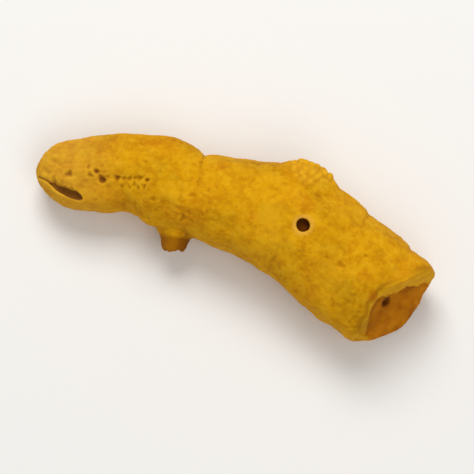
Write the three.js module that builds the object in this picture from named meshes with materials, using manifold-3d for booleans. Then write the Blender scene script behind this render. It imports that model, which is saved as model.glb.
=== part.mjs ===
// A dried turmeric root: one finger of the rhizome, boiled, dried and polished, lying on its side.
// It grew as one piece, so it is one solid. It is a bent, tapering finger with a rounded tip and a broken end,
// and it carries leaf-scar rings, a hollow side stub, the rough scar of a lost branch, flat bud scars, a shrinkage
// split, pits and a beetle's hole.
// Millimetres. +X runs from the tip to the broken end and +Z is up. The origin is on the table, under the middle.

import * as THREE from "three";
import { mergeVertices } from "three/addons/utils/BufferGeometryUtils.js";
import Module from "manifold-3d";

const wasm = await Module();
wasm.setup();

const TURN = 2 * Math.PI;
const { degToRad, smoothstep } = THREE.MathUtils;

// The frame: where the middle of the root's box lies, from the tip along the root and to the side.
const MIDDLE = { x: 25.55, y: 3.4 };

// The finger, in sections from its tip to past the break. Each gives how far it is from the tip, how far its
// middle bows to the side, its half width, its half height and how far its underside stands off the table.
const SECTIONS = [
  [0.0, 0.95, 0.0, 0.0, 4.6],
  [0.4, 1.0, 1.5, 1.35, 3.3],
  [1.7, 1.25, 3.0, 2.7, 1.9],
  [3.3, 1.6, 3.95, 3.6, 1.0],
  [5.2, 2.05, 4.45, 4.15, 0.4],
  [8.1, 3.0, 4.85, 4.5, 0.0],
  [12.0, 4.25, 4.95, 4.75, 0.2],
  [15.7, 4.5, 5.45, 5.1, 0.55],
  [19.3, 4.3, 5.2, 4.9, 0.9],
  [23.2, 4.7, 5.6, 5.3, 0.6],
  [27.2, 5.1, 6.3, 5.9, 0.15],
  [31.2, 5.1, 6.8, 6.3, 0.0],
  [35.2, 4.15, 7.05, 6.5, 0.0],
  [39.2, 2.75, 7.0, 6.4, 0.0],
  [43.3, 1.45, 7.0, 6.4, 0.0],
  [47.3, 0.15, 6.8, 6.2, 0.1],
  [52.3, -1.5, 6.5, 6.0, 0.4],
];
const WORN_FLAT = 0.3; // how much of the underside is lost where it touches the table
const RINGS_ALONG = 76;
const CLOSER_AT_TIP = 1.3;
const POINTS_AROUND = 48;

// The rind is smooth for this far behind the tip, where the sections close to a point.
const SMOOTH_TIP = 5;

// Leaf scars: each ring is a shallow groove with a low ridge on its tip side, and leans a little round the finger.
const LEAF_SCARS = [
  { x: 7.4, deep: 0.1, lean: 0.5, from: 40 },
  { x: 13.2, deep: 0.1, lean: 0.4, from: 200 },
  { x: 19.3, deep: 0.2, lean: 0.5, from: 120 },
  { x: 26.0, deep: 0.1, lean: 0.7, from: 300 },
  { x: 32.6, deep: 0.12, lean: 0.5, from: 90 },
  { x: 38.6, deep: 0.1, lean: 0.7, from: 160 },
  { x: 44.2, deep: 0.12, lean: 0.6, from: 60 },
];
const SCAR_GROOVE = 1.0; // half width of a ring's groove
const SCAR_RIDGE = 0.45; // its ridge's height, as a share of the groove's depth

// Flat round scars of buds, low on the sides. The angle is round the finger: 0 is the +Y side and 90 the top.
const BUD_SCARS = [
  { x: 40.2, turn: 203, radius: 2.1, proud: 0.4 },
  { x: 11.4, turn: 338, radius: 1.7, proud: 0.35 },
  { x: 24.6, turn: 322, radius: 1.5, proud: 0.3 },
];

// The hollow stub of a side shoot on the -Y side, and the rough scar of a lost branch on the +Y shoulder.
const STUB = { x: 18.6, y: 1.0, z: 4.3, aim: [0.2, -0.93, -0.14], radius: 1.75, length: 4.1 };
const STUB_POINTS = 24;
const BRANCH_SCAR = { x: 31.5, turn: 29, radius: 2.2, proud: 1.75, rough: 0.2 };

// The broken end: an uneven break that leans back, with a lip of rind standing round a sunken core. The break
// twists, so it is steep on the +Y side.
const BREAK = { x: 47.7, y: 0.1, z: 6.2, turn: -29, lean: 23, twist: 0.03, twistFrom: -1.5 };
const BREAK_FACE = { halfWide: 6.9, halfHigh: 7.2, hollow: 0.5, torn: 0.28, fibres: 0.16 };

// The lip's inner and outer edges are shares of the way out to the rind. It stands highest along the top of the
// break and runs out flush at the bottom, at a height of lowest below the middle.
const LIP = { from: 0.7, to: 0.82, stands: 0.9, lowest: -4.5, highest: 2 };
const BREAK_TOOL = { size: 24, deep: 14, cells: 28 };

// Holes: a beetle's round hole, and ellipsoids for pits. Each pit is placed from above, by x and y, with its half
// length, half width, depth and turn.
const BEETLE_HOLE = { x: 33.6, y: 4.45, radius: 0.86, deep: 3.2, points: 16 };
const PITS = [
  { x: 7.6, y: 2.5, long: 0.45, wide: 0.3, deep: 0.5, turn: 0 },
  { x: 8.6, y: 1.8, long: 0.5, wide: 0.38, deep: 0.55, turn: -20 },
  { x: 13.9, y: 3.4, long: 0.4, wide: 0.3, deep: 0.45, turn: 0 },
  { x: 46.0, y: 0.05, long: 0.7, wide: 0.42, deep: 1.1, turn: 60 },
];

// The split runs from the tip along its -Y side and is widest past its middle, where the rind shrank the most.
const SPLIT = { fromX: 0.8, toX: 6.9, fromY: -0.2, toY: -1.15, widestAt: 0.65, wide: 0.5, deep: 1.1 };
const SPLIT_RINGS = 13;
const SPLIT_POINTS = 8;

const flesh = new THREE.MeshStandardMaterial({ color: "#d69a16", roughness: 0.92, metalness: 0 });

// A closed three.js geometry as a manifold-3d solid.
function solidOf(geometry) {
  const bare = geometry.clone();
  bare.deleteAttribute("normal");
  bare.deleteAttribute("uv");
  const merged = mergeVertices(bare, 1e-4);
  return new wasm.Manifold(
    new wasm.Mesh({
      numProp: 3,
      vertProperties: merged.getAttribute("position").array,
      triVerts: new Uint32Array(merged.index.array),
    }),
  );
}

// A manifold-3d solid as a three.js geometry.
function geometryOf(solid) {
  const mesh = solid.getMesh();
  const geometry = new THREE.BufferGeometry();
  geometry.setAttribute("position", new THREE.BufferAttribute(mesh.vertProperties, 3));
  geometry.setIndex(new THREE.BufferAttribute(mesh.triVerts, 1));
  geometry.computeVertexNormals();
  return geometry;
}

const middleOfSection = ([x, y, , high, clear]) => new THREE.Vector3(x, y, clear + high - WORN_FLAT);
const sizeOfSection = ([, , wide, high]) => new THREE.Vector3(wide, high, 0);
const spine = new THREE.CatmullRomCurve3(SECTIONS.map(middleOfSection), false, "catmullrom");
const girth = new THREE.CatmullRomCurve3(SECTIONS.map(sizeOfSection), false, "catmullrom");

// How far a leaf scar lifts or sinks the rind, at x along the root and a turn round it.
function leafScarRelief(scar, x, turn) {
  const past = x - scar.x - scar.lean * Math.cos(turn - degToRad(scar.from));
  const groove = Math.exp(-((past / SCAR_GROOVE) ** 2));
  const ridge = Math.exp(-(((past + 1.6 * SCAR_GROOVE) / SCAR_GROOVE) ** 2));
  return scar.deep * (SCAR_RIDGE * ridge - groove);
}

// A bud scar is a low disc with a soft edge and a sunken middle.
function budScarRelief(scar, x, turn, girthHere) {
  const round = Math.atan2(Math.sin(turn - degToRad(scar.turn)), Math.cos(turn - degToRad(scar.turn)));
  const away = Math.hypot(x - scar.x, round * girthHere) / scar.radius;
  return scar.proud * (1 - smoothstep(away, 0.7, 1.25)) - 0.6 * scar.proud * (1 - smoothstep(away, 0, 0.4));
}

// The lost branch left a low boss that flares into the shoulder and is broken off flat and rough.
function branchScarRelief({ x: scarX, turn: scarTurn, radius, proud, rough }, x, turn, girthHere) {
  const round = Math.atan2(Math.sin(turn - degToRad(scarTurn)), Math.cos(turn - degToRad(scarTurn)));
  const away = Math.hypot(x - scarX, round * girthHere) / radius;
  const crumbs = Math.sin(2.6 * x + 1.0) * Math.sin(2.9 * round * girthHere + 0.4);
  const boss = 1 - smoothstep(away, 0.35, 1.65);
  return proud * boss + rough * crumbs * (1 - smoothstep(away, 0.6, 1.0));
}

// What the drying did: the rind is drawn in along broad furrows that wander as they run along the root.
function furrowRelief(x, turn) {
  return (
    0.13 * Math.sin(2 * turn + 0.9 + 0.09 * x) +
    0.1 * Math.sin(3 * turn - 1.2 + 0.13 * x) +
    0.07 * Math.sin(5 * turn + 2.1 - 0.21 * x) +
    0.06 * Math.sin(7 * turn + 0.4 + 0.34 * x) +
    0.07 * Math.sin(0.9 * x + 1.4 * Math.sin(turn + 0.6))
  );
}

function relief(x, turn, girthHere) {
  let lift = furrowRelief(x, turn);
  for (const scar of LEAF_SCARS) lift += leafScarRelief(scar, x, turn);
  for (const scar of BUD_SCARS) lift += budScarRelief(scar, x, turn, girthHere);
  lift += branchScarRelief(BRANCH_SCAR, x, turn, girthHere);
  return lift * smoothstep(x, 0.3, SMOOTH_TIP);
}

// A closed solid through rings of points, each ring anticlockwise when seen from the far end, and two end points.
function sweptSolid(rings, start, end) {
  const around = rings[0].length;
  const points = [...rings.flat(), start, end];
  const startIndex = points.length - 2;
  const endIndex = points.length - 1;
  const lastRow = (rings.length - 1) * around;
  const faces = [];
  for (let i = 0; i < around; i++) {
    const next = (i + 1) % around;
    faces.push(startIndex, next, i, endIndex, lastRow + i, lastRow + next);
    for (let row = 0; row < lastRow; row += around) {
      faces.push(row + i, row + next, row + around + next);
      faces.push(row + i, row + around + next, row + around + i);
    }
  }
  const geometry = new THREE.BufferGeometry().setFromPoints(points);
  geometry.setIndex(faces);
  return solidOf(geometry);
}

// The finger's rings are closer together where the tip rounds off.
function fingerSolid() {
  const rings = [];
  for (let ring = 1; ring <= RINGS_ALONG; ring++) {
    const share = spine.getUtoTmapping((ring / RINGS_ALONG) ** CLOSER_AT_TIP);
    const middle = spine.getPoint(share);
    const { x: wide, y: high } = girth.getPoint(share);
    const along = spine.getTangent(share);
    const side = new THREE.Vector3(-along.y, along.x, 0).normalize();
    const up = new THREE.Vector3().crossVectors(along, side);
    const points = [];
    for (let i = 0; i < POINTS_AROUND; i++) {
      const turn = (i / POINTS_AROUND) * TURN;
      const lift = relief(middle.x, turn, wide);
      const point = middle.clone();
      point.addScaledVector(side, (wide + lift) * Math.cos(turn));
      point.addScaledVector(up, (high + lift) * Math.sin(turn));
      points.push(point);
    }
    rings.push(points);
  }
  return sweptSolid(rings, spine.getPoint(0), spine.getPoint(1));
}

// The side shoot broke off short and its soft core shrank, so its end is a cup with a rounded rim. Each point of
// the profile is a radius and a height as shares of the stub's own, from its buried foot upwards.
const STUB_PROFILE = [
  [0, -0.35],
  [1.95, -0.35],
  [1.8, 0.1],
  [1.45, 0.38],
  [1.14, 0.62],
  [0.97, 0.85],
  [0.86, 0.97],
  [0.7, 1.0],
  [0.54, 0.94],
  [0.4, 0.78],
  [0, 0.7],
];
const STUB_UNEVEN = 0.07;

// The stub is turned about its own axis, then made a little out of round and aimed.
function stubSolid() {
  const { x, y, z, aim, radius, length } = STUB;
  const outline = STUB_PROFILE.map(([out, up]) => new THREE.Vector2(out * radius, up * length));
  const geometry = new THREE.LatheGeometry(outline, STUB_POINTS);
  const position = geometry.getAttribute("position");
  const point = new THREE.Vector3();
  for (let i = 0; i < position.count; i++) {
    point.fromBufferAttribute(position, i);
    const turn = Math.atan2(point.z, point.x);
    const away = Math.hypot(point.x, point.z);
    const out = 1 + STUB_UNEVEN * (Math.sin(2 * turn + 0.7) + 0.6 * Math.sin(5 * turn));
    const high = point.y > 0.6 * length ? 1.6 * STUB_UNEVEN * away * Math.sin(3 * turn + 1.1) : 0;
    position.setXYZ(i, point.x * out, point.y + high, point.z * out);
  }
  const turned = new THREE.Quaternion().setFromUnitVectors(
    new THREE.Vector3(0, 1, 0),
    new THREE.Vector3(...aim).normalize(),
  );
  geometry.applyQuaternion(turned).translate(x, y, z);
  return solidOf(geometry);
}

// The material beyond the break: a block whose near face is the uneven surface that the break left.
function beyondBreakSolid() {
  const { size, deep, cells } = BREAK_TOOL;
  const geometry = new THREE.BoxGeometry(size, size, deep, cells, cells, 1);
  const position = geometry.getAttribute("position");
  for (let i = 0; i < position.count; i++) {
    if (position.getZ(i) > 0) continue;
    const across = position.getX(i);
    const up = position.getY(i);
    const out = Math.hypot(across / BREAK_FACE.halfWide, up / BREAK_FACE.halfHigh);
    const stands = LIP.stands * smoothstep(up, LIP.lowest, LIP.highest);
    const sunk = stands * (1 - smoothstep(out, LIP.from, LIP.to));
    const bowl = BREAK_FACE.hollow * (1 - Math.min(1, out) ** 2);
    const torn = BREAK_FACE.torn * Math.sin(0.9 * across + 0.5) * Math.cos(0.7 * up);
    const fibres = BREAK_FACE.fibres * Math.sin(1.9 * across + 1.3 * up);
    const twisted = BREAK.twist * Math.abs(across - BREAK.twistFrom) * up;
    position.setZ(i, position.getZ(i) - sunk - bowl - torn - fibres + twisted);
  }
  geometry.translate(0, 0, deep / 2);
  const turn = degToRad(BREAK.turn);
  const lean = degToRad(BREAK.lean);
  const facing = new THREE.Vector3(
    Math.cos(lean) * Math.cos(turn),
    Math.cos(lean) * Math.sin(turn),
    Math.sin(lean),
  );
  const across = new THREE.Vector3(-Math.sin(turn), Math.cos(turn), 0);
  const up = new THREE.Vector3().crossVectors(facing, across);
  geometry.applyMatrix4(new THREE.Matrix4().makeBasis(across, up, facing));
  geometry.translate(BREAK.x, BREAK.y, BREAK.z);
  return solidOf(geometry);
}

// The height of a solid's upper surface over a point.
function topOf(solid, x, y) {
  const mesh = new THREE.Mesh(geometryOf(solid));
  const down = new THREE.Raycaster(new THREE.Vector3(x, y, 100), new THREE.Vector3(0, 0, -1));
  return down.intersectObject(mesh)[0].point.z;
}

function pitSolid(root, { x, y, long, wide, deep, turn }) {
  const geometry = new THREE.SphereGeometry(1, 12, 8).scale(long, wide, deep);
  geometry.rotateZ(degToRad(turn)).translate(x, y, topOf(root, x, y));
  return solidOf(geometry);
}

// The split's cut is a spindle that follows the rind. It opens slowly from the tip and closes fast at its far end.
function splitSolid(root) {
  const { fromX, toX, fromY, toY, widestAt, wide, deep } = SPLIT;
  const place = (share) => {
    const x = THREE.MathUtils.lerp(fromX, toX, share);
    const y = THREE.MathUtils.lerp(fromY, toY, share ** 0.8) + 0.07 * Math.sin(9 * share);
    return new THREE.Vector3(x, y, topOf(root, x, y));
  };
  const rings = [];
  for (let ring = 1; ring < SPLIT_RINGS; ring++) {
    const share = ring / SPLIT_RINGS;
    const closing = Math.max(0, share - widestAt) / (1 - widestAt);
    const open = 0.2 + 0.8 * smoothstep(share, 0, widestAt);
    const size = open * Math.sqrt(1 - closing ** 2);
    const points = [];
    for (let i = 0; i < SPLIT_POINTS; i++) {
      const turn = (i / SPLIT_POINTS) * TURN;
      const point = place(share);
      point.y += size * wide * Math.cos(turn);
      point.z += size * deep * Math.sin(turn);
      points.push(point);
    }
    rings.push(points);
  }
  return sweptSolid(rings, place(0), place(1));
}

function beetleHoleSolid(root) {
  const { x, y, radius, deep, points } = BEETLE_HOLE;
  const geometry = new THREE.CylinderGeometry(radius, radius, 2 * deep, points);
  geometry.rotateX(Math.PI / 2).translate(x, y, topOf(root, x, y));
  return solidOf(geometry);
}

function tableSolid() {
  const size = 200;
  return solidOf(new THREE.BoxGeometry(size, size, size).translate(0, 0, -size / 2));
}

let root = fingerSolid().add(stubSolid()).subtract(beyondBreakSolid());
const holes = [beetleHoleSolid(root), splitSolid(root), ...PITS.map((pit) => pitSolid(root, pit))];
for (const hole of holes) root = root.subtract(hole);
root = root.subtract(tableSolid());

const turmericRoot = new THREE.Mesh(geometryOf(root), flesh);
turmericRoot.name = "turmeric_root";
turmericRoot.position.set(-MIDDLE.x, -MIDDLE.y, 0);

const part = new THREE.Group();
part.add(turmericRoot);
export default part;
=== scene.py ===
"""The looks of a dried turmeric finger: a matt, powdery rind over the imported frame, on a pale floor.

The frame's solid is copied, given small even faces and softened. The rind's small forms are then raised
and sunk in it as real geometry, and its finish is procedural. Shapes are worked out in millimetres, and
stored in metres.
"""

import math

import bpy
import bmesh
import numpy as np
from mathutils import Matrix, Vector, noise


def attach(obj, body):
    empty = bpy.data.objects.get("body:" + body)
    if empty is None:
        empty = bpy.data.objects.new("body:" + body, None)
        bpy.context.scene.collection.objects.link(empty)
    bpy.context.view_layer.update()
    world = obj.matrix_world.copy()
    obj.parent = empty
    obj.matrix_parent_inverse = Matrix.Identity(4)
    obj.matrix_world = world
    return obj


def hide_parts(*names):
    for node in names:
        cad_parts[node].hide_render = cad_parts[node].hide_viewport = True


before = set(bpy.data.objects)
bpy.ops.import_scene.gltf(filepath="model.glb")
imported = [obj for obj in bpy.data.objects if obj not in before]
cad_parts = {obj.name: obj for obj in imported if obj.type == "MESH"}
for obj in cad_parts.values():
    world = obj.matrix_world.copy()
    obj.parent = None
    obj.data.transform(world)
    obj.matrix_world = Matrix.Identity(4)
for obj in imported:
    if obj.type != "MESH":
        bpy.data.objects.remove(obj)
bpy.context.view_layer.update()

MM = 0.001
NODE = "turmeric_root"
BODY = "root"

# Where the middle of the root's box lies, from the tip along the root and to the side, in millimetres.
MIDDLE = np.array([25.55, 3.4, 0.0])

# The spine, from the tip to past the break: along the root, to the side and up.
SPINE = [
    (0.0, 0.95, 4.3),
    (0.4, 1.0, 4.35),
    (1.7, 1.25, 4.3),
    (3.3, 1.6, 4.3),
    (5.2, 2.05, 4.25),
    (8.1, 3.0, 4.2),
    (12.0, 4.25, 4.65),
    (15.7, 4.5, 5.35),
    (19.3, 4.3, 5.5),
    (23.2, 4.7, 5.6),
    (27.2, 5.1, 5.75),
    (31.2, 5.1, 6.0),
    (35.2, 4.15, 6.2),
    (39.2, 2.75, 6.1),
    (43.3, 1.45, 6.1),
    (47.3, 0.15, 6.0),
    (52.3, -1.5, 6.1),
]

# Leaf scars: where each ring crosses the spine, how far it leans, and the angle that it leans towards.
LEAF_SCARS = [
    (7.4, 0.5, 40),
    (13.2, 0.4, 200),
    (19.3, 0.5, 120),
    (26.0, 0.7, 300),
    (32.6, 0.5, 90),
    (38.6, 0.7, 160),
    (44.2, 0.6, 60),
]

TIP_FADES = (3.0, 13.0)  # between these places along the root, the marks of the tip fade out
NECK_AT = 19.0  # where the root is thinnest, behind its head
# Where drying drew the head's sides in: the side, -1 or 1, the place along the root, the reach and how far.
DRAWN_IN = [
    (-1, 10.4, 2.6, 0.5),
    (1, 5.8, 2.8, 0.25),
]

# The stub of a side shoot: where its foot is, the way it grows, its radius and its length.
STUB_FOOT = np.array([18.6, 1.0, 4.3])
STUB_AIM = np.array([0.2, -0.93, -0.14])
STUB_RADIUS = 1.75
STUB_LENGTH = 4.1

# The scar of a lost branch: where it lies along the root and round it, in degrees, its radius, and how far
# out from the spine the rind lies there.
BRANCH_SCAR = {"x": 31.5, "turn": 29, "radius": 2.2, "out": 6.8}

# The broken end: a point on its face, how far it turns and leans, in degrees, and its half sizes across
# and up.
BREAK_POINT = np.array([47.7, 0.1, 6.2])
BREAK_TURN = -29
BREAK_LEAN = 23
BREAK_HALF_SIZE = (6.9, 7.2)
BREAK_FROM = 40.0  # past here along the root, a face that looks along it can belong to the break
RIM_FROM = 38.0  # past here, the rind can belong to the rim of the break
RIM_ROLL = 0.4  # how far the rim is rounded in towards the spine
# The small pit under the lip, painted dark as painted shade: its middle, and its half sizes out of the
# break, across it and up it.
BREAK_PIT = np.array([46.0, 0.05, 6.3])
BREAK_PIT_SIZE = (1.1, 1.05, 1.15)

# The beetle's hole: where it lies, its radius, how high its mouth is, and how far down its dust is packed.
BEETLE_HOLE = {"x": 33.6, "y": 4.45, "radius": 0.86, "mouth": 12.7, "dust": 1.4}

FACE_SIZE = 0.172  # the side of the piece's even faces
SOFTENING = 13  # rounds of smoothing, which round off the solid's flat facets
UPPER_SIDE = 4.0  # points higher than this lie on the root's upper side

# The split as it is seen from above: where it starts and ends along the root and to the side, the share of
# its length at which it is widest, its half width there, and how far to the side its torn edges run.
SPLIT = {"x": (0.8, 6.95), "y": (-0.2, -1.2), "widest_at": 0.76, "wide": 0.47, "line": -0.75}

# Pocks that the rind shows from above: along, to the side, radius and depth.
POCKS = [
    (4.45, 1.05, 0.56, 0.42),
    (2.85, 0.0, 0.45, 0.2),
    (3.1, -0.3, 0.34, 0.16),
    (4.1, -0.2, 0.3, 0.16),
    (5.3, -0.35, 0.26, 0.12),
    (7.6, 2.5, 0.42, 0.13),
    (8.6, 1.78, 0.5, 0.2),
    (13.75, 2.55, 0.42, 0.22),
    (13.9, 3.4, 0.4, 0.1),
    (6.45, 2.6, 0.32, 0.3),
    (7.0, 1.8, 0.42, 0.3),
    (8.0, 2.15, 0.3, 0.16),
    (9.15, 2.3, 0.28, 0.16),
    (8.3, 4.0, 0.34, 0.14),
    (9.5, 1.2, 0.3, 0.12),
    (10.25, 2.55, 0.46, 0.24),
    (11.05, 2.75, 0.34, 0.2),
    (11.75, 3.0, 0.4, 0.24),
    (12.25, 3.2, 0.28, 0.18),
    (12.95, 3.4, 0.48, 0.24),
    (12.45, 2.45, 0.34, 0.2),
    (11.1, 1.75, 0.36, 0.16),
    (12.1, 1.95, 0.32, 0.15),
    (13.1, 2.2, 0.36, 0.15),
    (12.8, 5.6, 0.3, 0.16),
    (9.4, 4.9, 0.26, 0.12),
    (11.3, 4.3, 0.24, 0.12),
    (19.6, 3.6, 0.5, 0.14),
    (15.4, 1.5, 0.44, 0.16),
    (19.5, 0.7, 0.5, 0.22),
    (39.4, 1.55, 0.64, 0.18),
    (37.6, 1.8, 0.3, 0.16),
    (41.9, 3.6, 0.34, 0.12),
]
# Creases in the tip and the neck: where each one starts and ends, along and to the side, its half width and
# its depth.
CREASES = [
    (1.3, 2.2, 3.3, 1.85, 0.32, 0.2),
    (0.6, 1.0, 2.6, 0.35, 0.28, 0.17),
    (1.0, 3.0, 2.6, 3.3, 0.3, 0.12),
    (9.4, 2.3, 13.6, 3.5, 0.3, 0.06),
    (14.8, 5.6, 18.9, 7.4, 0.35, 0.07),
    (15.6, 1.9, 19.4, 1.3, 0.35, 0.07),
    (5.2, 3.4, 8.6, 4.6, 0.3, 0.05),
    (19.1, 8.3, 20.3, 4.4, 0.42, 0.08),
]
PORES = 260  # the small pores that lie all over the rind

# Orange bruises on the upper side, where the outer skin is lost: along, to the side and radius.
BRUISES = [
    (4.3, 2.0, 1.0),
    (19.6, 0.6, 1.5),
    (17.6, 0.7, 1.1),
    (21.7, 8.3, 0.9),
    (32.0, 10.5, 0.7),
    (32.8, 7.1, 1.3),
    (27.4, 3.6, 1.2),
    (42.6, 1.2, 1.0),
    (39.4, 1.55, 0.6),
]
# Places on the upper side that are painted paler: along, to the side and radius.
PALER_PLACES = [
    (29.5, 4.4, 2.3),
    (30.6, 1.3, 2.4),
    (38.6, -0.2, 2.8),
    (17.6, 2.6, 1.0),
]
# The corner of the lip that is worn through to the flesh: along, to the side and radius.
WORN_CORNER = [(44.4, -0.7, 0.75)]
SEED = 7  # of the draws that place the pores


def smoothstep(value, low, high):
    """A soft step: 0 below low and 1 above high."""
    share = np.clip((value - low) / (high - low), 0.0, 1.0)
    return share * share * (3.0 - 2.0 * share)


def unit(vector):
    return vector / np.linalg.norm(vector)


def spine_points(steps):
    """The spine as a smooth curve through its points, with a number of steps between each two."""
    rows = np.array(SPINE)
    before = np.vstack([2 * rows[0] - rows[1], rows[:-1]])
    after = np.vstack([rows[1:], 2 * rows[-1] - rows[-2]])
    slopes = (after - before) / 2
    t = np.linspace(0, 1, steps, endpoint=False)[:, None]
    parts = []
    for i in range(len(rows) - 1):
        start, end = rows[i], rows[i + 1]
        parts.append(
            (2 * t**3 - 3 * t**2 + 1) * start
            + (t**3 - 2 * t**2 + t) * slopes[i]
            + (3 * t**2 - 2 * t**3) * end
            + (t**3 - t**2) * slopes[i + 1]
        )
    return np.vstack(parts + [rows[-1:]])


def rind_coordinates(points):
    """Each point's place on the rind: how far along the spine it is, to which side and how high over it, the
    turn round it, and the way out from it. straight is the same place on a root with a straight spine."""
    line = spine_points(steps=12)
    nearest = np.empty(len(points), int)
    at_once = 4000  # points in a block, which keeps the table of distances small
    for start in range(0, len(points), at_once):
        block = points[start : start + at_once]
        away = ((block[:, None, :] - line[None, :, :]) ** 2).sum(2)
        nearest[start : start + at_once] = away.argmin(1)
    along = np.gradient(line, axis=0)
    along /= np.linalg.norm(along, axis=1, keepdims=True)
    side = np.stack([-along[:, 1], along[:, 0], np.zeros(len(line))], 1)
    side /= np.linalg.norm(side, axis=1, keepdims=True)
    up = np.cross(along, side)
    offset = points - line[nearest]
    past = (offset * along[nearest]).sum(1)
    across = (offset * side[nearest]).sum(1)
    high = (offset * up[nearest]).sum(1)
    outward = side[nearest] * across[:, None] + up[nearest] * high[:, None]
    lengths = np.concatenate([[0], np.cumsum(np.linalg.norm(np.diff(line, axis=0), axis=1))])
    return {
        "x": line[nearest, 0] + past * along[nearest, 0],
        "straight": np.stack([lengths[nearest] + past, across, high], 1),
        "turn": np.arctan2(high, across),
        "outward": outward / np.maximum(np.linalg.norm(outward, axis=1, keepdims=True), 1e-6),
    }


def noise_at(points, size, seed, octaves):
    """Fractal noise, about -1 to 1, whose features are about size millimetres across."""
    shift = Vector((17.3 * seed, -5.1 * seed, 9.7 * seed))
    scaled = points * (1.0 / np.asarray(size, float))
    return np.array([noise.fractal(Vector(p) + shift, 1.0, 2.0, octaves) for p in scaled])


def crumbs_at(points, chosen, size):
    """The rounded tops of crumbs size millimetres across, -1 to 1 at the chosen points and 0 elsewhere."""
    tops = np.zeros(len(points))
    for index in np.flatnonzero(chosen):
        apart = noise.voronoi(Vector(points[index]) / size)[0][0]
        tops[index] = max(-1.0, 1 - (apart / 0.45) ** 2)
    return tops


def even_faces(source):
    """A copy of a solid's mesh, in millimetres, with small even faces and softened facets."""
    mesh = source.data.copy()
    shape = bmesh.new()
    shape.from_mesh(mesh)
    bmesh.ops.remove_doubles(shape, verts=shape.verts, dist=1e-7)
    bmesh.ops.scale(shape, verts=shape.verts, vec=(1 / MM,) * 3)
    shape.to_mesh(mesh)
    shape.free()
    holder = bpy.data.objects.new("turmeric_finger", mesh)
    bpy.context.scene.collection.objects.link(holder)
    remesh = holder.modifiers.new("even_faces", "REMESH")
    remesh.mode = "VOXEL"
    remesh.voxel_size = FACE_SIZE
    soften = holder.modifiers.new("soften", "SMOOTH")
    soften.factor = 0.5
    soften.iterations = SOFTENING
    evaluated = holder.evaluated_get(bpy.context.evaluated_depsgraph_get())
    holder.data = bpy.data.meshes.new_from_object(evaluated)
    holder.modifiers.clear()
    return holder


def vertex_array(mesh, what="co"):
    """The places of the mesh's vertices, or their normals, as rows of three."""
    values = np.zeros(len(mesh.vertices) * 3)
    if what == "co":
        mesh.vertices.foreach_get("co", values)
    else:
        mesh.vertex_normals.foreach_get("vector", values)
    return values.reshape(-1, 3)


def neighbour_average(mesh):
    """A function that gives each vertex the average of its neighbours' values."""
    edges = np.zeros(len(mesh.edges) * 2, int)
    mesh.edges.foreach_get("vertices", edges)
    edges = edges.reshape(-1, 2)
    here = np.concatenate([edges[:, 0], edges[:, 1]])
    there = np.concatenate([edges[:, 1], edges[:, 0]])
    count = np.bincount(here, minlength=len(mesh.vertices))

    def average(values):
        if values.ndim == 1:
            return np.bincount(here, values[there], len(count)) / count
        sums = [np.bincount(here, column[there], len(count)) for column in values.T]
        return np.stack(sums, 1) / count[:, None]

    return average


def smoothed(values, average, rounds):
    """The values after some rounds in which each one moves halfway to the average of its neighbours."""
    for _ in range(rounds):
        values = 0.5 * values + 0.5 * average(values)
    return values


def break_axes():
    """The directions that the break faces, runs across and runs up."""
    turn, lean = math.radians(BREAK_TURN), math.radians(BREAK_LEAN)
    flat = math.cos(lean)
    facing = np.array([flat * math.cos(turn), flat * math.sin(turn), math.sin(lean)])
    across = np.array([-math.sin(turn), math.cos(turn), 0.0])
    return facing, across, np.cross(facing, across)


def broken_face(points):
    """Where each point lies against the uneven face that the break left in the solid, and a finer one.

    near is 1 on the solid's face and 0 well away from it, behind is the distance back from that face, and
    finer is how far the finer face is ahead of the point. high is how far up the break the point lies, and
    out is its distance from the middle, 1 at the rim. lip and flesh are its shares of the lip and of the
    bare core, stands is how much lip stands at its height, and shaded is how far it lies in the hollow
    under the lip.
    """
    facing, side, up = break_axes()
    offset = points - BREAK_POINT
    across, high, ahead = offset @ side, offset @ up, offset @ facing
    out = np.hypot(across / BREAK_HALF_SIZE[0], high / BREAK_HALF_SIZE[1])
    stands = 0.9 * smoothstep(high, -4.5, 2.0)
    bowl = 0.03 * np.abs(across + 1.5) * high - 0.5 * (1 - np.minimum(1, out) ** 2)
    torn = -0.28 * np.sin(0.9 * across + 0.5) * np.cos(0.7 * high)
    fibres = -0.16 * np.sin(1.9 * across + 1.3 * high)
    solid_face = bowl + torn + fibres - stands * (1 - smoothstep(out, 0.7, 0.82))
    # The core's top slants down towards the +Y side, and the lip goes on down the -Y side as a fold.
    ragged = 0.085 * noise_at(points, 1.9, 21, 3) + 0.045 * noise_at(points, 0.6, 25, 1)
    off_core = np.hypot((across + 0.95) / 7.5, (high + 0.9 + 0.3 * across) / 6.9) + ragged
    from_fold = across - 0.36 * high + 6.0 * ragged
    fold = 0.65 * (1 - smoothstep(from_fold, -5.3, -3.9))
    lip = np.maximum(smoothstep(off_core, 0.64, 0.74), fold)
    finer_face = bowl + 0.5 * torn + 0.25 * fibres - 0.9 * stands * (1 - lip)
    finer_face += (0.2 * noise_at(points, 1.6, 22, 3) + 0.35) * stands * lip
    finer_face -= 0.8 * smoothstep(out, 0.76, 1.03) ** 1.5 * (1 - 0.9 * smoothstep(high, -1.0, 3.0))
    # The flesh runs out to the rind along the bottom, where no lip stands.
    low = smoothstep(-high, 0.5, 4.5)
    flesh = 1 - smoothstep(off_core, 0.65 + 0.1 * low, 0.75 + 0.34 * low)
    flesh *= smoothstep(from_fold, -5.0, -4.2)
    shaded = (1 - lip) * smoothstep(high, -2.6, 0.4) * (0.3 + 0.7 * smoothstep(off_core, 0.25, 0.6))
    behind = solid_face - ahead
    return {
        "near": 1 - smoothstep(np.abs(behind), 0.25, 0.6),
        "behind": behind,
        "finer": finer_face - ahead,
        "high": high,
        "out": out,
        "lip": lip,
        "flesh": flesh,
        "stands": stands,
        "shaded": shaded,
    }


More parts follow.
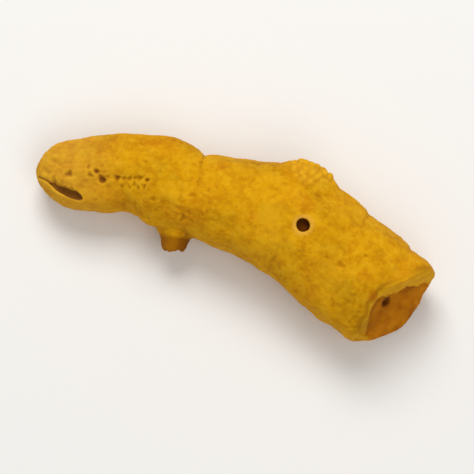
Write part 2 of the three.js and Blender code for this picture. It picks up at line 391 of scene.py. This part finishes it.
def pock_depths(points, normals):
    """How far the pocks and the small pores sink the rind."""
    rng = np.random.default_rng(SEED)
    sunk = np.zeros(len(points))
    from_above = normals[:, 2] > 0.2
    for x, y, radius, depth in POCKS:
        around = np.arctan2(points[:, 1] - y, points[:, 0] - x)
        away = np.hypot(points[:, 0] - x, points[:, 1] - y) / radius
        ragged = away * (1 + 0.2 * np.sin(3 * around + 7 * x) + 0.15 * np.sin(2 * around + 3 * y))
        sunk += from_above * depth * (1 - smoothstep(ragged, 0.15, 1.1))
    for index in rng.choice(len(points), PORES, replace=False):
        radius = rng.uniform(0.15, 0.32)
        depth = rng.uniform(0.03, 0.1)
        away = np.linalg.norm(points - points[index], axis=1) / radius
        sunk += depth * (1 - smoothstep(away, 0.2, 1.0))
    return sunk


def crease_depths(points):
    """How far the creases sink the rind."""
    sunk = np.zeros(len(points))
    wander = 0.12 * noise_at(points, 0.9, 27, 2)
    for from_x, from_y, to_x, to_y, half_wide, depth in CREASES:
        run = np.array([to_x - from_x, to_y - from_y])
        offset = points[:, :2] - (from_x, from_y)
        share = np.clip(offset @ run / (run @ run), 0, 1)
        away = np.linalg.norm(offset - share[:, None] * run, axis=1) + wander
        fading = 1 - np.abs(2 * share - 1) ** 3
        sunk += depth * fading * np.exp(-((away / half_wide) ** 2)) * (points[:, 2] > UPPER_SIDE)
    return sunk


def in_split(points):
    """How far inside the split each point is: 1 at its bottom and 0 past its edges."""
    (from_x, to_x), (from_y, to_y), widest_at = SPLIT["x"], SPLIT["y"], SPLIT["widest_at"]
    share = np.clip((points[:, 0] - from_x) / (to_x - from_x), 0, 1)
    line = from_y + (to_y - from_y) * share**0.8 + 0.07 * np.sin(9 * share)
    closing = np.sqrt(1 - (np.maximum(0, share - widest_at) / (1 - widest_at)) ** 4)
    half_wide = SPLIT["wide"] * (0.2 + 0.8 * smoothstep(share, 0.15, widest_at)) * closing
    away = np.abs(points[:, 1] - line) / np.maximum(half_wide, 0.02)
    away /= np.where(points[:, 1] < line, 1.15, 1.0)  # its lower side is the wider one
    ends = (share > 0) & (share < 1) & (points[:, 2] > UPPER_SIDE)
    depth = 0.62 + 0.38 * smoothstep(share + 0.2 * noise_at(points, 1.1, 30, 2), 0.2, 0.5)
    return ends * depth * (1 - smoothstep(away, 0.45, 1.15))


def torn_split_edges(points):
    """How far each point is pulled along and to the side by the split's edges, which are torn, not cut."""
    from_x, to_x = SPLIT["x"]
    by_split = np.exp(-(((points[:, 1] - SPLIT["line"]) / 0.9) ** 2)) * smoothstep(points[:, 2], 5.5, 7.0)
    by_split *= smoothstep(points[:, 0], from_x - 0.2, from_x + 0.8)
    by_split *= 1 - smoothstep(points[:, 0], to_x - 0.05, to_x + 0.95)
    pulled = np.zeros_like(points)
    pulled[:, 0] = 0.08 * by_split * noise_at(points, 0.75, 31, 2)
    pulled[:, 1] = 0.13 * by_split * noise_at(points, 0.75, 29, 2)
    return pulled


def drawn_in(rind):
    """How far drying drew the head's two sides in."""
    sunk = np.zeros(len(rind["x"]))
    for side, x, reach, depth in DRAWN_IN:
        near = np.exp(-(((rind["x"] - x) / reach) ** 2))
        sunk += depth * near * smoothstep(side * np.cos(rind["turn"]), 0.3, 0.9)
    return sunk


def spots(points, rows):
    """How far inside a ragged round spot of the upper side each point lies: 1 in a spot's middle."""
    inside = np.zeros(len(points))
    ragged = 0.3 * noise_at(points, 1.0, 26, 2)
    for x, y, radius in rows:
        away = np.hypot(points[:, 0] - x, points[:, 1] - y) / radius + ragged
        inside += (points[:, 2] > UPPER_SIDE) * (1 - smoothstep(away, 0.2, 1.3))
    return inside


def leaf_scar_lift(rind):
    """The soft edge that each leaf left on its ring, and the line behind it, deeper on the sides."""
    straight = rind["straight"]
    lift = np.zeros(len(straight))
    wander = 0.28 * noise_at(straight, 2.4, 11, 2) + 0.1 * noise_at(straight, 0.7, 12, 1)
    fade = smoothstep(noise_at(straight, 7.0, 13, 1), -0.35, 0.3)
    worn = 0.05 + 0.09 * (1 - smoothstep(np.sin(rind["turn"]), 0.1, 0.8))  # less is left on the rubbed top
    for x, lean, towards in LEAF_SCARS:
        past = rind["x"] - x - lean * np.cos(rind["turn"] - math.radians(towards)) + wander
        lift += 0.04 * fade * np.exp(-(((past + 0.45) / 0.45) ** 2))
        lift -= worn * fade * np.exp(-(((past - 0.25) / 0.35) ** 2))
    return lift


def rolled_rim(points, broken):
    """How far the rind rolls over into the break."""
    rolled = (points[:, 0] > RIM_FROM) * (1 - smoothstep(broken["behind"], -0.2, 1.9)) ** 1.6
    return rolled * smoothstep(broken["out"], 0.72, 1.0)


def lip_crease(points, broken):
    """The crease that runs along behind the top of the lip."""
    runs_at = 0.3 + 0.15 * noise_at(points, 2.0, 23, 2)
    crease = (points[:, 0] > RIM_FROM) * np.exp(-(((broken["behind"] - runs_at) / 0.26) ** 2))
    return crease * smoothstep(broken["high"], 0.5, 4.5) * smoothstep(broken["out"], 0.84, 0.98)


def on_branch_scar(points, rind):
    """How far inside the ragged scar of the lost branch each point lies."""
    turned = np.angle(np.exp(1j * (rind["turn"] - math.radians(BRANCH_SCAR["turn"]))))
    away = np.hypot(rind["x"] - BRANCH_SCAR["x"], turned * BRANCH_SCAR["out"]) / BRANCH_SCAR["radius"]
    ragged = away + 0.32 * noise_at(points, 1.8, 3, 3)
    return 1 - smoothstep(ragged, 0.65, 1.2)


def stub_shares(points):
    """Each point's share of the stub: of the whole of it, its hollow end, its rim and its shaded flank."""
    aim = unit(STUB_AIM)
    from_foot = points - STUB_FOOT
    up = from_foot @ aim
    out = np.linalg.norm(from_foot - np.outer(up, aim), axis=1) / STUB_RADIUS
    share = up / STUB_LENGTH
    whole = smoothstep(share, 0.45, 0.62) * (1 - smoothstep(out, 1.4, 1.8))
    return {
        "whole": whole,
        "hollow_end": smoothstep(share, 0.66, 0.76) * (1 - smoothstep(out, 0.5, 0.8)),
        "rim": smoothstep(share, 0.86, 0.95) * (1 - smoothstep(out, 1.2, 1.5)),
        "flank": whole * smoothstep(from_foot[:, 0] - up * aim[0], 0.2, 1.6),
    }


def beetle_hole(points):
    """Where each point lies by the beetle's hole: its distance from the middle and the way there, whether it
    is in the bore, and its share of the ring of dust that the beetle pushed out."""
    to_middle = np.array([BEETLE_HOLE["x"], BEETLE_HOLE["y"]]) - points[:, :2]
    away = np.linalg.norm(to_middle, axis=1)
    above = points[:, 2] > UPPER_SIDE
    ring = above * np.exp(-(((away - BEETLE_HOLE["radius"] - 0.24) / 0.19) ** 2))
    return {
        "away": away,
        "inward": above[:, None] * to_middle / np.maximum(away, 0.01)[:, None],
        "bore": above & (away < BEETLE_HOLE["radius"] + 0.04) & (points[:, 2] < BEETLE_HOLE["mouth"]),
        "dust_ring": ring * (0.75 + 0.4 * noise_at(points, 0.7, 28, 2)),
    }


def pack_dust(points, moved, hole):
    """Narrows the beetle's hole, which the softening opened a little, and packs it with dust."""
    narrowing = 0.1 * np.exp(-(((hole["away"] - 0.95) / 0.25) ** 2))
    moved[:, :2] += hole["inward"] * narrowing[:, None]
    dust_top = BEETLE_HOLE["mouth"] - BEETLE_HOLE["dust"] + 0.12 * noise_at(points, 0.6, 14, 2)
    moved[:, 2] = np.where(hole["bore"], np.maximum(moved[:, 2], dust_top), moved[:, 2])


def raised(points, normals, rind, forms):
    """How far the small forms raise the rind along its normals."""
    straight, skin, scar, stub = rind["straight"], forms["skin"], forms["scar"], forms["stub"]
    lumps = 0.13 * noise_at(straight, (4.6, 3.4, 3.4), 1, 2)
    dimples = 0.085 * noise_at(straight, (1.9, 1.6, 1.6), 2, 3)
    nubs = 0.035 * noise_at(straight, (0.85, 0.75, 0.75), 24, 2)
    grain = 0.02 * noise_at(points, 0.6, 5, 2)
    wrinkles = noise_at(straight, (5.5, 1.25, 1.25), 4, 2)
    folds = np.clip(1 - np.abs(wrinkles) / 0.22, 0, 1) ** 1.5
    neck = np.exp(-(((rind["x"] - NECK_AT) / 2.6) ** 2))
    fold_depth = 0.02 + 0.06 * forms["tip"] + 0.015 * neck + 0.06 * stub["whole"]
    leaf_scars = leaf_scar_lift(rind) * (1 - scar)
    lift = skin * (lumps + dimples + nubs + grain - fold_depth * folds + leaf_scars)
    lift += scar * (0.17 * crumbs_at(points, scar > 0, 0.85) + 0.16 * noise_at(points, 1.1, 6, 2))
    torn_flesh = 0.07 * noise_at(points, (1.6, 1.6, 1.2), 8, 3) + 0.015 * noise_at(points, 0.5, 9, 1)
    lift += forms["break"] * torn_flesh
    lift += 0.06 * stub["hollow_end"] * noise_at(points, 0.5, 10, 2)
    lift += 0.05 * forms["hole"]["dust_ring"]
    lift -= 0.06 * forms["lip_crease"] + 0.3 * forms["split"] + drawn_in(rind)
    return lift - skin * (pock_depths(points, normals) + crease_depths(points))


def finish_layers(points, moved, normals, rind, broken, forms, average):
    """What the finish needs to know at each point, as shares from 0 to 1."""
    on_break, skin, stub, hole = forms["break"], forms["skin"], forms["stub"], forms["hole"]
    relief = ((moved - smoothed(moved, average, 60)) * rind["outward"]).sum(1)
    fine = ((moved - smoothed(moved, average, 10)) * normals).sum(1)
    bored = hole["bore"] * smoothstep(BEETLE_HOLE["mouth"] - points[:, 2], 0.2, 0.7)
    from_pit = (points - BREAK_PIT) @ np.stack(break_axes(), 1) / BREAK_PIT_SIZE
    # Painted shade: these darken the rind's recesses, the split, the depth of the bore, the gap along the
    # stub's flank, the hollow under the lip, the crease behind the lip and the pit under the lip.
    painted_shade = [
        0.9 * skin * smoothstep(-relief, 0.11, 0.33),
        forms["split"],
        bored,
        0.6 * stub["flank"],
        0.65 * on_break * broken["shaded"],
        0.3 * forms["lip_crease"],
        1 - smoothstep(np.linalg.norm(from_pit, axis=1), 0.5, 1.05),
    ]
    bare_flesh = [on_break * broken["flesh"], stub["hollow_end"], 0.9 * spots(points, WORN_CORNER)]
    # Crests and the listed paler places; on crests the paler colour is partly rubbed wear and partly painted
    # highlight.
    paled = smoothstep(fine, 0.005, 0.06) + 0.8 * spots(points, PALER_PLACES)
    # Painted shade: how far each place is sunken.
    sunken_shade = 0.7 * smoothstep(-fine, 0.005, 0.07) + 0.6 * smoothstep(-relief, 0.03, 0.2)
    return {
        "bruised": spots(points, BRUISES) * skin * (1 - hole["bore"]),
        "broken": np.maximum.reduce(bare_flesh),
        # The stub is painted darker, partly as its browner skin and partly as painted shade.
        "stub": stub["whole"],
        "crumbly": forms["scar"],
        "painted_shade": np.maximum.reduce(painted_shade),
        "dusty": 0.68 * hole["dust_ring"] * (1 - bored) + 0.2 * forms["tip"] * skin,
        # Crests, the stub's rim and the top of the lip are painted paler, partly as rubbed wear and partly
        # as painted highlight.
        "pale_wear_and_highlight": skin * paled + stub["rim"] + 0.9 * on_break * broken["lip"] * broken["stands"],
        # Painted shade: sunken places and the crease behind the lip are painted browner.
        "hollow": skin * sunken_shade + 1.2 * forms["lip_crease"],
    }


def sculpt(piece):
    """Raises and sinks the rind's small forms, and stores what its finish needs to know."""
    mesh = piece.data
    average = neighbour_average(mesh)
    points = vertex_array(mesh) + MIDDLE
    normals = vertex_array(mesh, "normal")
    rind = rind_coordinates(points)
    broken = broken_face(points)
    facing = break_axes()[0]
    on_break = broken["near"] * smoothstep(normals @ facing, -0.1, 0.45) * (points[:, 0] > BREAK_FROM)
    points = points + facing * (on_break * broken["finer"])[:, None]
    forms = {
        "break": on_break,
        "skin": 1 - on_break,
        "lip_crease": lip_crease(points, broken),
        "scar": on_branch_scar(points, rind),
        "stub": stub_shares(points),
        "hole": beetle_hole(points),
        "split": in_split(points),
        "tip": 1 - smoothstep(rind["x"], *TIP_FADES),
    }
    moved = points + normals * raised(points, normals, rind, forms)[:, None]
    moved -= rind["outward"] * (RIM_ROLL * rolled_rim(points, broken))[:, None]
    moved += torn_split_edges(points)
    # The rind rolls over softly into the lip of the break.
    edge = smoothed(on_break, average, 8)
    rim = np.clip(5 * edge * (1 - edge), 0, 1)[:, None]
    moved = (1 - rim) * moved + rim * smoothed(moved, average, 14)
    moved[:, 2] = np.maximum(moved[:, 2], 0.0)
    pack_dust(points, moved, forms["hole"])

    for name, values in finish_layers(points, moved, normals, rind, broken, forms, average).items():
        layer = mesh.attributes.new(name, "FLOAT", "POINT")
        layer.data.foreach_set("value", np.clip(values, 0, 1).astype(np.float32))
    layer = mesh.attributes.new("rind_mm", "FLOAT_VECTOR", "POINT")
    layer.data.foreach_set("vector", rind["straight"].astype(np.float32).ravel())
    mesh.vertices.foreach_set("co", ((moved - MIDDLE) * MM).ravel())
    mesh.update()
    mesh.shade_smooth()


def linear(hex_colour):
    """An sRGB hex colour as the linear colour that Blender mixes."""
    parts = [int(hex_colour[i : i + 2], 16) / 255 for i in (1, 3, 5)]
    curved = [c / 12.92 if c <= 0.04045 else ((c + 0.055) / 1.055) ** 2.4 for c in parts]
    return (*curved, 1.0)


def add(tree, kind, inputs=(), stops=(), **settings):
    """Adds a node with its settings. An input given as a socket is linked, and stops are a colour ramp's."""
    made = tree.nodes.new(kind)
    for name, value in settings.items():
        setattr(made, name, value)
    for key, value in dict(inputs).items():
        if isinstance(value, bpy.types.NodeSocket):
            tree.links.new(value, made.inputs[key])
        else:
            made.inputs[key].default_value = value
    for i, (place, colour) in enumerate(stops):
        elements = made.color_ramp.elements
        stop = elements[i] if i < 2 else elements.new(place)
        stop.position = place
        stop.color = colour
    return made


# The colour sockets of a Mix node: its two inputs and its output.
FIRST, SECOND, MIXED = 6, 7, 2


def dried_turmeric_rind():
    """Polished, dried turmeric rind: a matt, dusty skin. The eye sees yellow powder rubbed over an ochre
    skin, with almost no gloss. Each hollow is painted browner as painted shade, and each crest is painted
    paler, partly as rubbed wear and partly as painted highlight."""
    material = bpy.data.materials.new("dried_turmeric_rind")
    material.use_nodes = True
    tree = material.node_tree
    tree.nodes.clear()

    place = add(tree, "ShaderNodeTexCoord").outputs["Object"]
    mm = add(tree, "ShaderNodeMapping", {"Vector": place, "Scale": (1 / MM,) * 3}).outputs["Vector"]
    straight = add(tree, "ShaderNodeAttribute", attribute_name="rind_mm").outputs["Vector"]
    stored = {
        name: add(tree, "ShaderNodeAttribute", attribute_name=name).outputs["Fac"]
        for name in ("bruised", "broken", "stub", "crumbly", "painted_shade", "dusty", "pale_wear_and_highlight", "hollow")
    }

    # Patches of rubbed skin, about 4 mm across and a little longer along the root.
    along = add(tree, "ShaderNodeMapping", {"Vector": straight, "Scale": (0.6, 1.0, 1.0)}).outputs["Vector"]
    patches = add(
        tree,
        "ShaderNodeTexNoise",
        {"Vector": along, "Scale": 1 / 3.6, "Detail": 3.0, "Roughness": 0.55},
    )
    skin = add(
        tree,
        "ShaderNodeValToRGB",
        {"Fac": patches.outputs["Fac"]},
        stops=[(0.32, linear("#b17e03")), (0.68, linear("#dc9e06")), (0.50, linear("#d09303"))],
    )
    # Orange blushes, about 6.5 mm across, and the bruises, where the rind lost its outer skin.
    blush = add(
        tree,
        "ShaderNodeTexNoise",
        {"Vector": mm, "Scale": 1 / 6.5, "Detail": 2.0, "Roughness": 0.5},
    )
    blush_share = add(
        tree,
        "ShaderNodeMapRange",
        {"Value": blush.outputs["Fac"], "From Min": 0.48, "From Max": 0.66, "To Max": 0.55},
    )
    colour = add(
        tree,
        "ShaderNodeMix",
        {"Factor": blush_share.outputs["Result"], FIRST: skin.outputs["Color"], SECOND: linear("#cb7a02")},
        data_type="RGBA",
    )
    bruise_share = add(tree, "ShaderNodeMath", {0: stored["bruised"], 1: 0.6}, operation="MULTIPLY")
    colour = add(
        tree,
        "ShaderNodeMix",
        {"Factor": bruise_share.outputs[0], FIRST: colour.outputs[MIXED], SECOND: linear("#bd6a03")},
        data_type="RGBA",
    )
    # Mottling of bare ochre and of yellow dust, about 1.4 mm across.
    mottle = add(
        tree,
        "ShaderNodeTexNoise",
        {"Vector": mm, "Scale": 1 / 1.4, "Detail": 2.0, "Roughness": 0.5},
    )
    mottled = add(
        tree,
        "ShaderNodeValToRGB",
        {"Fac": mottle.outputs["Fac"]},
        stops=[(0.34, linear("#b26f03")), (0.66, linear("#dfaa1a")), (0.50, linear("#d09303"))],
    )
    colour = add(
        tree,
        "ShaderNodeMix",
        {"Factor": 0.4, FIRST: colour.outputs[MIXED], SECOND: mottled.outputs["Color"]},
        data_type="RGBA",
    )
    # Dust and bare specks, about 0.5 mm across.
    specks = add(
        tree,
        "ShaderNodeTexNoise",
        {"Vector": mm, "Scale": 1 / 0.55, "Detail": 4.0, "Roughness": 0.62},
    )
    dust_share = add(
        tree,
        "ShaderNodeMapRange",
        {"Value": specks.outputs["Fac"], "From Min": 0.50, "From Max": 0.72, "To Max": 0.55},
    )
    colour = add(
        tree,
        "ShaderNodeMix",
        {"Factor": dust_share.outputs["Result"], FIRST: colour.outputs[MIXED], SECOND: linear("#e3a812")},
        data_type="RGBA",
    )
    bare_share = add(
        tree,
        "ShaderNodeMapRange",
        {"Value": specks.outputs["Fac"], "From Min": 0.46, "From Max": 0.28, "To Max": 0.45},
    )
    colour = add(
        tree,
        "ShaderNodeMix",
        {"Factor": bare_share.outputs["Result"], FIRST: colour.outputs[MIXED], SECOND: linear("#a06604")},
        data_type="RGBA",
    )
    # Crests are painted paler, partly as rubbed wear and partly as painted highlight, and hollows are
    # painted brown as painted shade.
    pale_wear_and_highlight_share = add(tree, "ShaderNodeMath", {0: stored["pale_wear_and_highlight"], 1: 0.5}, operation="MULTIPLY")
    colour = add(
        tree,
        "ShaderNodeMix",
        {"Factor": pale_wear_and_highlight_share.outputs[0], FIRST: colour.outputs[MIXED], SECOND: linear("#e8ad16")},
        data_type="RGBA",
    )
    hollow_share = add(tree, "ShaderNodeMath", {0: stored["hollow"], 1: 0.5}, operation="MULTIPLY")
    colour = add(
        tree,
        "ShaderNodeMix",
        {"Factor": hollow_share.outputs[0], FIRST: colour.outputs[MIXED], SECOND: linear("#965c02")},
        data_type="RGBA",
    )
    # The branch scar's dry crumbs are paler, and the broken flesh is a deep orange brown, in fibres of about
    # 1.3 mm that run up the break. The stub is painted darker, partly as its browner skin and partly as
    # painted shade. Recesses, the split, the bore and the hollows of the break are painted nearly black as
    # painted shade.
    crumb_share = add(tree, "ShaderNodeMath", {0: stored["crumbly"], 1: 0.38}, operation="MULTIPLY")
    colour = add(
        tree,
        "ShaderNodeMix",
        {"Factor": crumb_share.outputs[0], FIRST: colour.outputs[MIXED], SECOND: linear("#e8b024")},
        data_type="RGBA",
    )
    fibres = add(tree, "ShaderNodeMapping", {"Vector": mm, "Scale": (1.0, 1.0, 0.35)}).outputs["Vector"]
    flesh_grain = add(
        tree,
        "ShaderNodeTexNoise",
        {"Vector": fibres, "Scale": 1 / 1.3, "Detail": 3.0, "Roughness": 0.55},
    )
    flesh = add(
        tree,
        "ShaderNodeValToRGB",
        {"Fac": flesh_grain.outputs["Fac"]},
        stops=[(0.30, linear("#ad6001")), (0.70, linear("#cf8203"))],
    )
    colour = add(
        tree,
        "ShaderNodeMix",
        {"Factor": stored["broken"], FIRST: colour.outputs[MIXED], SECOND: flesh.outputs["Color"]},
        data_type="RGBA",
    )
    # The stub is painted darker, partly as its browner skin and partly as painted shade.
    stub_skin_and_shade_share = add(tree, "ShaderNodeMath", {0: stored["stub"], 1: 0.85}, operation="MULTIPLY")
    colour = add(
        tree,
        "ShaderNodeMix",
        {"Factor": stub_skin_and_shade_share.outputs[0], FIRST: colour.outputs[MIXED], SECOND: linear("#9a5a02")},
        data_type="RGBA",
    )
    # Painted shade: recesses, the split, the bore, the stub's flank and the hollows of the break are painted
    # near black.
    colour = add(
        tree,
        "ShaderNodeMix",
        {"Factor": stored["painted_shade"], FIRST: colour.outputs[MIXED], SECOND: linear("#6c3702")},
        data_type="RGBA",
    )
    # The beetle pushed a ring of pale dust out of its hole, and the tip is a little dusty too.
    colour = add(
        tree,
        "ShaderNodeMix",
        {"Factor": stored["dusty"], FIRST: colour.outputs[MIXED], SECOND: linear("#dea64c")},
        data_type="RGBA",
    )

    # Powder grains. Real ones are under 0.1 mm across, and they are drawn 0.25 mm across so that they show.
    grains = add(
        tree,
        "ShaderNodeTexNoise",
        {"Vector": mm, "Scale": 1 / 0.25, "Detail": 2.0, "Roughness": 0.6},
    )
    heights = add(
        tree,
        "ShaderNodeMath",
        {0: specks.outputs["Fac"], 1: grains.outputs["Fac"]},
        operation="ADD",
    )
    bump = add(
        tree,
        "ShaderNodeBump",
        {"Height": heights.outputs[0], "Strength": 0.55, "Distance": 0.06 * MM},
    )
    shader = add(
        tree,
        "ShaderNodeBsdfPrincipled",
        {
            "Base Color": colour.outputs[MIXED],
            "Normal": bump.outputs["Normal"],
            "Roughness": 0.9,
            "Specular IOR Level": 0.07,
            "Sheen Weight": 0.03,
            "Sheen Roughness": 0.6,
            "Sheen Tint": linear("#ffd98a"),
        },
    )
    add(tree, "ShaderNodeOutputMaterial", {"Surface": shader.outputs["BSDF"]})
    return material


def turmeric_finger():
    """The one piece: the whole dried root, in place of the frame's solid."""
    piece = even_faces(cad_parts[NODE])
    sculpt(piece)
    piece.data.materials.clear()
    piece.data.materials.append(dried_turmeric_rind())
    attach(piece, BODY)
    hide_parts(NODE)


def white_card():
    """White photographic card, rolled matt: the eye sees an even pale ground. Its tooth is 0.4 mm wide."""
    material = bpy.data.materials.new("white_card")
    material.use_nodes = True
    tree = material.node_tree
    tree.nodes.clear()
    place = add(tree, "ShaderNodeTexCoord").outputs["Object"]
    tooth = add(tree, "ShaderNodeTexNoise", {"Vector": place, "Scale": 1 / (0.4 * MM), "Detail": 2.0})
    bump = add(
        tree,
        "ShaderNodeBump",
        {"Height": tooth.outputs["Fac"], "Strength": 0.05, "Distance": 0.02 * MM},
    )
    shader = add(
        tree,
        "ShaderNodeBsdfPrincipled",
        {"Base Color": linear("#f2f0ec"), "Normal": bump.outputs["Normal"], "Roughness": 0.9},
    )
    add(tree, "ShaderNodeOutputMaterial", {"Surface": shader.outputs["BSDF"]})
    return material


def floor(size):
    """The square card that the root lies on."""
    mesh = bpy.data.meshes.new("floor")
    half = size / 2
    corners = [(-half, -half, 0), (half, -half, 0), (half, half, 0), (-half, half, 0)]
    mesh.from_pydata(corners, [], [(0, 1, 2, 3)])
    mesh.materials.append(white_card())
    made = bpy.data.objects.new("floor", mesh)
    bpy.context.scene.collection.objects.link(made)


# The photograph's view: almost straight down, with the broken end turned down and to the right.
VIEW_AZIMUTH = 20.4
VIEW_ELEVATION = 82.0
LENS = 200.0  # millimetres, on the default 36 mm sensor
SHOWN_WIDTH = 58 * MM  # how much the picture's width takes in at the root
ROOT_MIDDLE = Vector((0.8, -2.2, 6.0)) * MM  # the middle of the root as the camera sees it
CLIP = (0.01, 10.0)  # the nearest and the farthest that the camera shows, in metres

# The two square soft lights, in the view's own angles: azimuth, elevation, distance and side in metres, and
# power in watts. The key stands behind the root, and the weaker fill in front of it.
SOFTBOXES = {
    "key": (207, 54, 0.5, 0.25, 1.56),
    "fill": (52, 60, 0.6, 0.4, 0.84),
}
SKY_STRENGTH = 0.39
FLOOR_SIZE = 2.0  # metres


def view_direction(azimuth, elevation):
    """The direction from the target to something that stands at these angles, in degrees."""
    a, e = math.radians(azimuth), math.radians(elevation)
    return Vector((math.sin(a) * math.cos(e), -math.cos(a) * math.cos(e), math.sin(e)))


def camera(target):
    """The scene camera, at the photograph's viewing angle."""
    data = bpy.data.cameras.new("camera")
    data.lens = LENS
    made = bpy.data.objects.new("camera", data)
    bpy.context.scene.collection.objects.link(made)
    back = view_direction(VIEW_AZIMUTH, VIEW_ELEVATION)
    distance = SHOWN_WIDTH * LENS / data.sensor_width
    made.rotation_mode = "QUATERNION"
    made.location = target + back * distance
    made.rotation_quaternion = (-back).to_track_quat("-Z", "Y")
    data.clip_start, data.clip_end = CLIP
    bpy.context.scene.camera = made


def softbox(name, azimuth, elevation, distance, size, power, target):
    """A square soft light, placed round the target by the view's own angles."""
    data = bpy.data.lights.new(name, "AREA")
    data.shape = "SQUARE"
    data.size = size
    data.energy = power
    made = bpy.data.objects.new(name, data)
    bpy.context.scene.collection.objects.link(made)
    back = view_direction(azimuth, elevation)
    made.location = target + back * distance
    made.rotation_mode = "QUATERNION"
    made.rotation_quaternion = (-back).to_track_quat("-Z", "Y")


def studio(target):
    """The plain soft light: an even pale sky and the two soft lights."""
    world = bpy.data.worlds.new("studio")
    world.use_nodes = True
    background = world.node_tree.nodes["Background"]
    background.inputs["Color"].default_value = linear("#ffffff")
    background.inputs["Strength"].default_value = SKY_STRENGTH
    bpy.context.scene.world = world
    for name, settings in SOFTBOXES.items():
        softbox(name, *settings, target)
    bpy.context.scene.view_settings.view_transform = "Standard"


turmeric_finger()
floor(FLOOR_SIZE)
camera(ROOT_MIDDLE)
studio(ROOT_MIDDLE)
